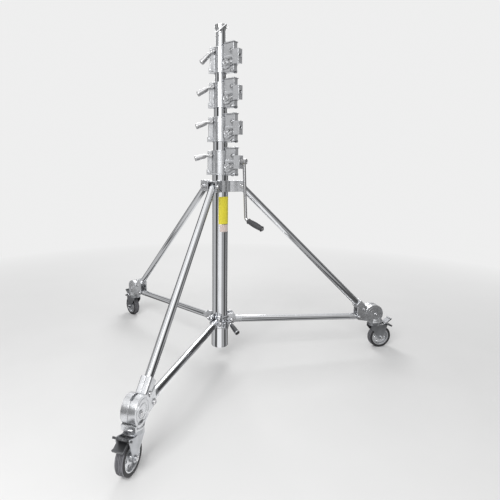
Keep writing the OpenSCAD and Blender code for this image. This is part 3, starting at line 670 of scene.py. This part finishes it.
    def knuckle_shapes(self, leg, side, place):
        """Raised rings and a boss on the knuckle's cheeks, and the round cup over the caster."""
        parts = []
        for way in (1, -1):
            middle = upright(place @ KNUCKLE_MIDDLE + side * way * KNUCKLE_HALF, side * way)
            for inner, outer in ((0.0385, 0.0425), (0.0235, 0.0265)):
                parts.append(turned([(inner, -0.0006), (outer, -0.0006), (outer - 0.0007, 0.0012),
                                     (inner + 0.0007, 0.0012)], middle, 56))
            bolt = upright(place @ KNUCKLE_BOLT + side * way * KNUCKLE_HALF, side * way)
            parts.append(turned([(0, -0.0006), (0.0135, -0.0006), (0.0135, 0.0016), (0.0123, 0.0026),
                                 (0, 0.0026)], bolt, 40))
        swivel = Matrix.Translation(pivot(f"caster_swivel_{leg}").xy.to_3d())
        parts.append(turned([(0.0200, 0.1510), (0.0372, 0.1510), (0.0380, 0.1518), (0.0380, 0.1572),
                             (0.0364, 0.1590), (0.0350, 0.1592), (0.0346, 0.1700), (0.0330, 0.1724),
                             (0.0200, 0.1724)], swivel, 56))
        add_piece(f"knuckle_shapes_{leg}", joined(parts), bpy.data.materials["blasted_casting"],
                  f"leg_{leg}")

    def rounded(self, node, width):
        """A CAD part with its cast edges rounded, in place of the sharp one."""
        part = NODES[node]
        work = bmesh.new()
        work.from_mesh(part.data)
        bmesh.ops.remove_doubles(work, verts=work.verts, dist=2e-5)
        bmesh.ops.dissolve_limit(work, angle_limit=math.radians(3), verts=work.verts, edges=work.edges,
                                 use_dissolve_boundaries=False, delimit=set())
        edges = [edge for edge in work.edges
                 if len(edge.link_faces) == 2 and edge.calc_face_angle() > math.radians(28)]
        bmesh.ops.bevel(work, geom=edges, offset=width, segments=2, profile=0.5, affect="EDGES",
                        material=-1, clamp_overlap=False)
        made = add_piece(f"rounded_{node}", work, part.data.materials[0], part["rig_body"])
        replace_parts(made, node)


class STAND_OT_drives(bpy.types.Operator):
    """Put the raised discs, rings, bosses and screws on the four crank drives"""

    bl_idname = "stand.drives"
    bl_label = "Detail the drives"

    def execute(self, context):
        casting = bpy.data.materials["blasted_casting"]
        steel = bpy.data.materials["polished_fittings"]
        for number in range(1, 5):
            body = NODES[f"drive_housing_{number}"]["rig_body"]
            across, centre = axis(f"drive_gear_{number}_turn"), pivot(f"drive_gear_{number}_turn")
            caps, screws = [], []
            for way in (across, -across):
                caps.append(self.disc(upright(centre + way * COVER_FACE, way)))
                screws.append(socket_head(upright(centre + way * (COVER_FACE + 0.0016), way),
                                          0.0052, 0.0030, 0.0044))
                self.bosses(centre, way, caps, screws)
            worm = f"worm_{number}_turn" if number > 1 else "crank_turn"
            out = -axis(worm)
            caps.append(self.bezel(upright(pivot(worm) + out * INPUT_FACE, out), number))
            add_piece(f"drive_discs_{number}", joined(caps), casting, body)
            add_piece(f"drive_centre_screws_{number}", joined(screws), steel, body)
        return {"FINISHED"}

    def bosses(self, centre, way, caps, screws):
        """The dished bearing cover and the small bosses on the flat of a drive's side."""
        out = Vector((math.cos(DRIVE_AZIMUTH), math.sin(DRIVE_AZIMUTH), 0))
        flat = centre + way * BOX_FACE
        for reach, rise, radius, height in BOSSES:
            place = upright(flat + out * reach + Vector((0, 0, rise)), way)
            caps.append(turned([(0, -0.0006), (radius, -0.0006), (radius, height * 0.85),
                                (radius * 0.94, height), (radius * 0.82, height),
                                (radius * 0.78, height * 0.4), (radius * 0.66, height * 0.4),
                                (radius * 0.62, height * 0.8), (radius * 0.5, height * 0.9),
                                (0, height * 0.9)], place, 40))
            screws.append(socket_head(place @ Matrix.Translation((0, 0, height * 0.88)), radius * 0.34,
                                      height * 0.28, radius * 0.3))

    def disc(self, place):
        """The dished middle of a side cover, with a rolled rim."""
        return turned([(0, -0.0004), (0.0160, -0.0004), (0.0160, 0.0010), (0.0152, 0.0022),
                       (0.0138, 0.0024), (0.0126, 0.0014), (0.0070, 0.0012), (0.0062, 0.0018),
                       (0, 0.0018)], place, 48)

    def bezel(self, place, number):
        """The ring round a worm's square socket; the crank's hub hides the first one."""
        outer = 0.0112 if number > 1 else 0.0125
        return turned([(0.0076, -0.0004), (outer, -0.0004), (outer, 0.0012), (outer - 0.0010, 0.0019),
                       (0.0086, 0.0019), (0.0076, 0.0010)], place, 40)


class STAND_OT_labels(bpy.types.Operator):
    """Put the two bare labels on the column"""

    bl_idname = "stand.labels"
    bl_label = "Stick the labels on"

    def execute(self, context):
        colours, sizes = context.scene.stand_colours, context.scene.stand_sizes
        yellow = vinyl_finish("label_vinyl", colours.label)
        pale = vinyl_finish("small_label_vinyl", colours.small_label)
        low, high = sizes.label_low, sizes.label_high
        self.label("column_label", low, high, sizes.label_span, yellow)
        self.label("column_small_label", low - SMALL_LABEL_LOW, low - SMALL_LABEL_HIGH,
                   sizes.label_span * SMALL_LABEL_SHARE, pale)
        return {"FINISHED"}

    def label(self, name, low, high, span, material):
        """A thin sheet with rounded corners, cut into strips and wrapped on the tube."""
        work = bmesh.new()
        bmesh.ops.create_grid(work, x_segments=2, y_segments=2, size=0.5)
        bmesh.ops.scale(work, vec=(span, high - low, 1), verts=work.verts)
        corners = [corner for corner in work.verts if len(corner.link_edges) == 2]
        bmesh.ops.bevel(work, geom=corners, offset=LABEL_CORNER, segments=5, profile=0.5,
                        affect="VERTICES", material=-1)
        bmesh.ops.dissolve_limit(work, angle_limit=0.01, verts=work.verts, edges=work.edges)
        for cut in range(1 - LABEL_CUTS // 2, LABEL_CUTS // 2):
            bmesh.ops.bisect_plane(work, geom=work.verts[:] + work.edges[:] + work.faces[:],
                                   plane_co=(cut * span / LABEL_CUTS, 0, 0), plane_no=(1, 0, 0))
        bmesh.ops.solidify(work, geom=work.faces, thickness=-LABEL_THICK)
        middle = bpy.context.scene.stand_sizes.label_angle
        for corner in work.verts:
            turn = middle + corner.co.x / COLUMN_R
            reach = COLUMN_R + 0.0001 + corner.co.z
            corner.co = Vector((reach * math.cos(turn), reach * math.sin(turn),
                                (low + high) / 2 + corner.co.y))
        add_piece(name, work, material, "base", 60)


class STAND_OT_fasteners(bpy.types.Operator):
    """Put socket screws and nuts at the pivots and clamps"""

    bl_idname = "stand.fasteners"
    bl_label = "Fit the fasteners"

    def execute(self, context):
        steel = bpy.data.materials["polished_fittings"]
        hub, collar = [], []
        for leg, side, place in legs():
            hub += self.pair(place @ LEG_PIVOT, side, *HUB_HEAD)
            collar += self.pair(pivot(f"strut_fold_{leg}"), side, *COLLAR_HEAD)
            self.knuckle(leg, place, side, steel)
        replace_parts(add_piece("hub_bolt_heads", joined(hub), steel, "base"),
                    "hub_pivot_bolts")
        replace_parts(add_piece("strut_collar_bolt_heads", joined(collar), steel, "strut_slide"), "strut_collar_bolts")
        return {"FINISHED"}

    def pair(self, centre, side, out, radius, height):
        """A screw head on one side and a nut on the other, with the shank between."""
        head = socket_head(upright(centre + side * out, side), radius, height, radius * 0.95)
        nut = hex_nut(upright(centre - side * out, -side), radius * 1.7, height * 0.7, radius * 0.5)
        shank = turned([(0, -out - 0.001), (radius * 0.46, -out - 0.001),
                        (radius * 0.46, out + 0.001), (0, out + 0.001)], upright(centre, side), 24)
        return [head, nut, shank]

    def knuckle(self, leg, place, side, steel):
        """The three screws through a knuckle."""
        parts = []
        for where, head in ((pivot(f"leg_fold_{leg}"), FOLD_HEAD), (place @ CLAMP_BOLT, CLAMP_HEAD),
                            (place @ KNUCKLE_BOLT, BODY_HEAD)):
            parts += self.pair(where, side, *head)
        add_piece(f"knuckle_screws_{leg}", joined(parts), steel, f"leg_{leg}")


class STAND_OT_wheels(bpy.types.Operator):
    """Make the tyres and the axles' ends"""

    bl_idname = "stand.wheels"
    bl_label = "Fit the wheels"

    def execute(self, context):
        rubber = bpy.data.materials["tyre_rubber"]
        steel = bpy.data.materials["polished_fittings"]
        for leg in LEG_AZIMUTH:
            low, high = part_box(f"tyre_{leg}")
            radius = (high.z - low.z) / 2
            place = upright(pivot(f"wheel_spin_{leg}"), axis(f"wheel_spin_{leg}"))
            tyre = self.tyre(radius, radius - TYRE_DEPTH, place)
            tread = add_piece(f"tyre_tread_{leg}", tyre, rubber, f"wheel_{leg}", 40)
            self.mark_tread(tread, axis(f"wheel_spin_{leg}"))
            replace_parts(tread, f"tyre_{leg}")
            self.axle_ends(leg, place, steel)
        return {"FINISHED"}

    def mark_tread(self, tyre, spin):
        """Gives the running surface its own dusty rubber."""
        tyre.data.materials.append(bpy.data.materials["tread_rubber"])
        for face in tyre.data.polygons:
            if abs(face.normal.dot(spin)) < 0.5:
                face.material_index = 1

    def tyre(self, radius, rim, place):
        """A tyre with four grooves, round shoulders and a lip at the rim."""
        half, groove, depth = TYRE_HALF, GROOVE_HALF, GROOVE_DEPTH
        shoulder = [(radius - 0.0045 + 0.0045 * math.cos(turn), half - 0.0050 + 0.0045 * math.sin(turn))
                    for turn in (math.radians(step) for step in range(0, 91, 15))]
        side = [(rim + 0.004, half - 0.0008), (rim + 0.0028, half - 0.0014),
                (rim + 0.0016, half - 0.0008), (rim + 0.0001, half - 0.0028)]
        lines = []
        for middle in (0.0035, 0.0085):
            lines += [(radius, middle - groove), (radius - depth, middle - groove * 0.4),
                      (radius - depth, middle + groove * 0.4), (radius, middle + groove)]
        upper = lines + shoulder + side
        outline = upper + [(reach, -height) for reach, height in reversed(upper)]
        return turned(outline, place, 96)

    def axle_ends(self, leg, place, steel):
        """A nut at each end of the axle."""
        parts = []
        for side in (1, -1):
            face = place @ Matrix.Diagonal((1, 1, side, 1)) @ Matrix.Translation((0, 0, AXLE_FACE))
            nut = hex_nut(Matrix.Identity(4), *AXLE_NUT)
            bmesh.ops.transform(nut, matrix=face, verts=nut.verts)
            parts.append(nut)
        add_piece(f"axle_nuts_{leg}", joined(parts), steel, f"caster_{leg}")


class STAND_OT_crank(bpy.types.Operator):
    """Make the bent crank rod, its hub and its grip"""

    bl_idname = "stand.crank"
    bl_label = "Make the crank"

    def execute(self, context):
        plating = bpy.data.materials["crank_plating"]
        out = (-axis("crank_turn")).to_track_quat("X", "Z").to_matrix().to_4x4()
        place = Matrix.Translation(pivot("crank_turn")) @ out
        hub_axis = place @ Matrix.Rotation(math.pi / 2, 4, "Y")
        near, far = CRANK_OUT - HUB_HALF, CRANK_OUT + HUB_HALF
        hub = turned([(0, near), (0.0115, near), (0.0130, near + 0.0015), (0.0130, far - 0.0020),
                      (0.0110, far), (0.0075, far + 0.0002), (0.0068, far - 0.0015), (0, far - 0.0015)],
                     hub_axis, 40)
        neck = turned([(0, NECK_START), (0.0078, NECK_START), (0.0078, near + 0.0005),
                       (0, near + 0.0005)], hub_axis, 32)
        rod = self.bent_rod(place)
        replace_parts(add_piece("crank_rod", joined([hub, neck, rod]), plating, "crank"),
                    "crank_arm")
        self.grip()
        return {"FINISHED"}

    def bent_rod(self, place):
        """The rod down from the hub, round its bend and out to the grip."""
        turn = math.pi / 2 - GRIP_DIP - CRANK_LEAN
        tangent = BEND_R * math.tan(turn / 2)
        lean = Matrix.Rotation(-CRANK_LEAN, 3, "Y")
        top = Vector((CRANK_OUT, 0, 0))
        down = lean @ Vector((0, 0, tangent - CRANK_LENGTH))
        work = bmesh.new()
        bmesh.ops.create_circle(work, cap_ends=True, segments=28, radius=CRANK_ROD_R)
        bmesh.ops.rotate(work, cent=(0, 0, 0), matrix=lean, verts=work.verts)
        bmesh.ops.translate(work, vec=top, verts=work.verts)
        ring = self.pushed(work, work.edges[:], down)
        bent = bmesh.ops.spin(work, geom=ring, cent=top + down + lean @ Vector((BEND_R, 0, 0)),
                              axis=(0, -1, 0), angle=turn, steps=12)["geom_last"]
        ring = [edge for edge in bent if isinstance(edge, bmesh.types.BMEdge)]
        along = Vector((math.cos(GRIP_DIP), 0, -math.sin(GRIP_DIP)))
        ring = self.pushed(work, ring, along * (0.016 - tangent))
        bmesh.ops.edgeloop_fill(work, edges=ring)
        bmesh.ops.transform(work, matrix=place, verts=work.verts)
        spindle = turned([(0, 0.015), (0.005, 0.015), (0.005, GRIP_END + 0.0025),
                          (0.0085, GRIP_END + 0.0025), (0.0085, GRIP_END + 0.0035),
                          (0.0060, GRIP_END + 0.0055), (0, GRIP_END + 0.0060)],
                         upright(pivot("grip_spin"), axis("grip_spin")), 28)
        return joined([work, spindle])

    def pushed(self, work, ring, way):
        """A ring of edges drawn out to a tube, and the tube's far ring."""
        made = bmesh.ops.extrude_edge_only(work, edges=ring)["geom"]
        moved = [item for item in made if isinstance(item, bmesh.types.BMVert)]
        bmesh.ops.translate(work, vec=way, verts=moved)
        return [item for item in made
                if isinstance(item, bmesh.types.BMEdge) and len(item.link_faces) == 1
                and all(len(corner.link_faces) == 2 for corner in item.verts)]

    def grip(self):
        """A barrel-shaped grip with a rolled lip at each end and shallow rings."""
        length, radius = GRIP_END - GRIP_START, GRIP_R
        lip = [(0.0051, 0), (radius - 0.0030, 0), (radius - 0.0008, 0.0014), (radius - 0.0006, 0.0032),
               (radius - 0.0022, 0.0052)]
        outline = lip[:]
        for step in range(17):
            part = step / 16
            height = 0.0080 + part * (length - 0.0160)
            swell = radius - 0.0022 + 0.0022 * math.sin(part * math.pi)
            dent = 0.0006 if step % 2 else 0
            outline.append((swell - dent, height))
        outline += [(reach, length - height) for reach, height in reversed(lip)]
        start = pivot("grip_spin") + axis("grip_spin") * GRIP_START
        work = turned(outline, upright(start, axis("grip_spin")), 56)
        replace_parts(add_piece("crank_grip_barrel", work, bpy.data.materials["grip_plastic"], "grip",
                              50), "crank_grip")


class STAND_OT_stage(bpy.types.Operator):
    """Make the floor, the studio light and the camera"""

    bl_idname = "stand.stage"
    bl_label = "Set the stage"

    def execute(self, context):
        self.floor()
        self.world(context.scene)
        for lamp in LAMPS:
            self.lamp(*lamp)
        self.camera(context.scene)
        context.scene.view_settings.view_transform = "Standard"
        return {"FINISHED"}

    def direction(self, made):
        """The way round the stand as a share of a turn, and the height."""
        parts = made.node("ShaderNodeSeparateXYZ", {}, {0: made.place})
        x, y, z = (Sock(made, out) for out in parts.outputs)
        return made.math("ARCTAN2", y, x) / math.tau + 0.5, z

    def floor(self):
        """A pale floor; metal mirrors it as more of the studio's softboxes and cards, which the floor shows as a glow,
        a painted reflection.
        """
        made = finish("studio_floor")
        tone = made.noise(3, 3, 0.5)
        tint = made.mix(tone, (0.76, 0.76, 0.755), (0.80, 0.80, 0.795))
        pale = made.node("ShaderNodeBsdfDiffuse", {}, {0: tint})
        turn, _ = self.direction(made)
        # painted reflection: seen by glossy rays, the floor glows in bands of softboxes and dark cards instead of
        # showing its own lit surface
        mirrored = made.node("ShaderNodeEmission", {}, {0: made.ramp(turn, *CARDS) * 1.15})
        glow = made.node("ShaderNodeEmission", {}, {0: BACKDROP})
        length = made.node("ShaderNodeVectorMath", {"operation": "LENGTH"}, {0: made.place})
        reach = Sock(made, length.outputs["Value"]) * 0.2
        rays = made.node("ShaderNodeLightPath", {}, {})
        fade = Sock(made, rays.outputs["Is Camera Ray"]) * made.ramp(reach, (0.24, 0), (0.72, 1))
        painted_reflection_share = Sock(made, rays.outputs["Is Glossy Ray"]) * 0.95
        surface = made.blend(painted_reflection_share, made.blend(fade, pale, glow), mirrored)
        made.links.new(surface.outputs[0], made.output.inputs[0])
        mesh = bpy.data.meshes.new("studio_floor")
        work = bmesh.new()
        bmesh.ops.create_grid(work, x_segments=2, y_segments=2, size=FLOOR_HALF)
        work.to_mesh(mesh)
        work.free()
        mesh.materials.append(made.owner)
        floor = bpy.data.objects.new("studio_floor", mesh)
        bpy.context.scene.collection.objects.link(floor)

    def world(self, scene):
        """A pale studio; what metal mirrors has softboxes and dark cards side by side."""
        scene.world = bpy.data.worlds.new("studio")
        made = NodeTree(scene.world, "ShaderNodeOutputWorld", "Generated")
        turn, z = self.direction(made)
        cards = made.ramp(turn, *CARDS)
        height = made.ramp(z * 0.5 + 0.5, (0.3, 0.7), (0.45, 1.0))
        overhead = made.ramp(z, (0.55, 0), (0.8, 1))
        room = made.node("ShaderNodeBackground", {}, {0: (0.5, 0.5, 0.505, 1), 1: 1.0})
        mirrored = made.node("ShaderNodeBackground", {}, {0: cards * height + overhead * 0.7})
        backdrop = made.node("ShaderNodeBackground", {}, {0: BACKDROP})
        rays = made.node("ShaderNodeLightPath", {}, {})
        seen = made.blend(Sock(made, rays.outputs["Is Glossy Ray"]), room, mirrored)
        shown = made.blend(Sock(made, rays.outputs["Is Camera Ray"]), seen, backdrop)
        made.links.new(shown.outputs[0], made.output.inputs[0])

    def lamp(self, name, place, aim, size, power):
        """A square lamp that faces the column at one height."""
        data = bpy.data.lights.new(name, "AREA")
        data.size = size
        data.energy = power
        made = bpy.data.objects.new(name, data)
        made.location = place
        made.rotation_euler = (Vector((0, 0, aim)) - Vector(place)).to_track_quat("-Z", "Y").to_euler()
        bpy.context.scene.collection.objects.link(made)

    def camera(self, scene):
        """The camera at the photograph's angle."""
        data = bpy.data.cameras.new("camera")
        data.lens = CAMERA_LENS
        data.sensor_width = 36
        data.shift_x = CAMERA_SHIFT
        made = bpy.data.objects.new("camera", data)
        made.location = CAMERA_PLACE
        made.rotation_euler = CAMERA_TURN
        scene.collection.objects.link(made)
        scene.camera = made


OPERATORS = [STAND_OT_finishes, STAND_OT_castings, STAND_OT_drives, STAND_OT_labels, STAND_OT_fasteners,
             STAND_OT_wheels, STAND_OT_crank, STAND_OT_stage]


class STAND_PT_panel(bpy.types.Panel):
    """The stand's finishing steps"""

    bl_idname = "STAND_PT_panel"
    bl_label = "Crank stand"
    bl_space_type = "VIEW_3D"
    bl_region_type = "UI"
    bl_category = "Crank stand"

    def draw(self, context):
        for group in (context.scene.stand_colours, context.scene.stand_sizes):
            for key in group.__annotations__:
                self.layout.prop(group, key)
        for operator in OPERATORS:
            self.layout.operator(operator.bl_idname)


CLASSES = [CrankStandColours, CrankStandSizes, *OPERATORS, STAND_PT_panel]


def register():
    """Adds the panel, the steps and their settings."""
    for item in CLASSES:
        bpy.utils.register_class(item)
    bpy.types.Scene.stand_colours = bpy.props.PointerProperty(type=CrankStandColours)
    bpy.types.Scene.stand_sizes = bpy.props.PointerProperty(type=CrankStandSizes)


def unregister():
    """Takes them out again."""
    del bpy.types.Scene.stand_sizes
    del bpy.types.Scene.stand_colours
    for item in reversed(CLASSES):
        bpy.utils.unregister_class(item)


def main():
    """Dresses the stand step by step."""
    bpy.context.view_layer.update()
    register()
    bpy.ops.stand.finishes()
    bpy.ops.stand.castings()
    bpy.ops.stand.drives()
    bpy.ops.stand.labels()
    bpy.ops.stand.fasteners()
    bpy.ops.stand.wheels()
    bpy.ops.stand.crank()
    bpy.ops.stand.stage()


if __name__ == "__main__":
    main()
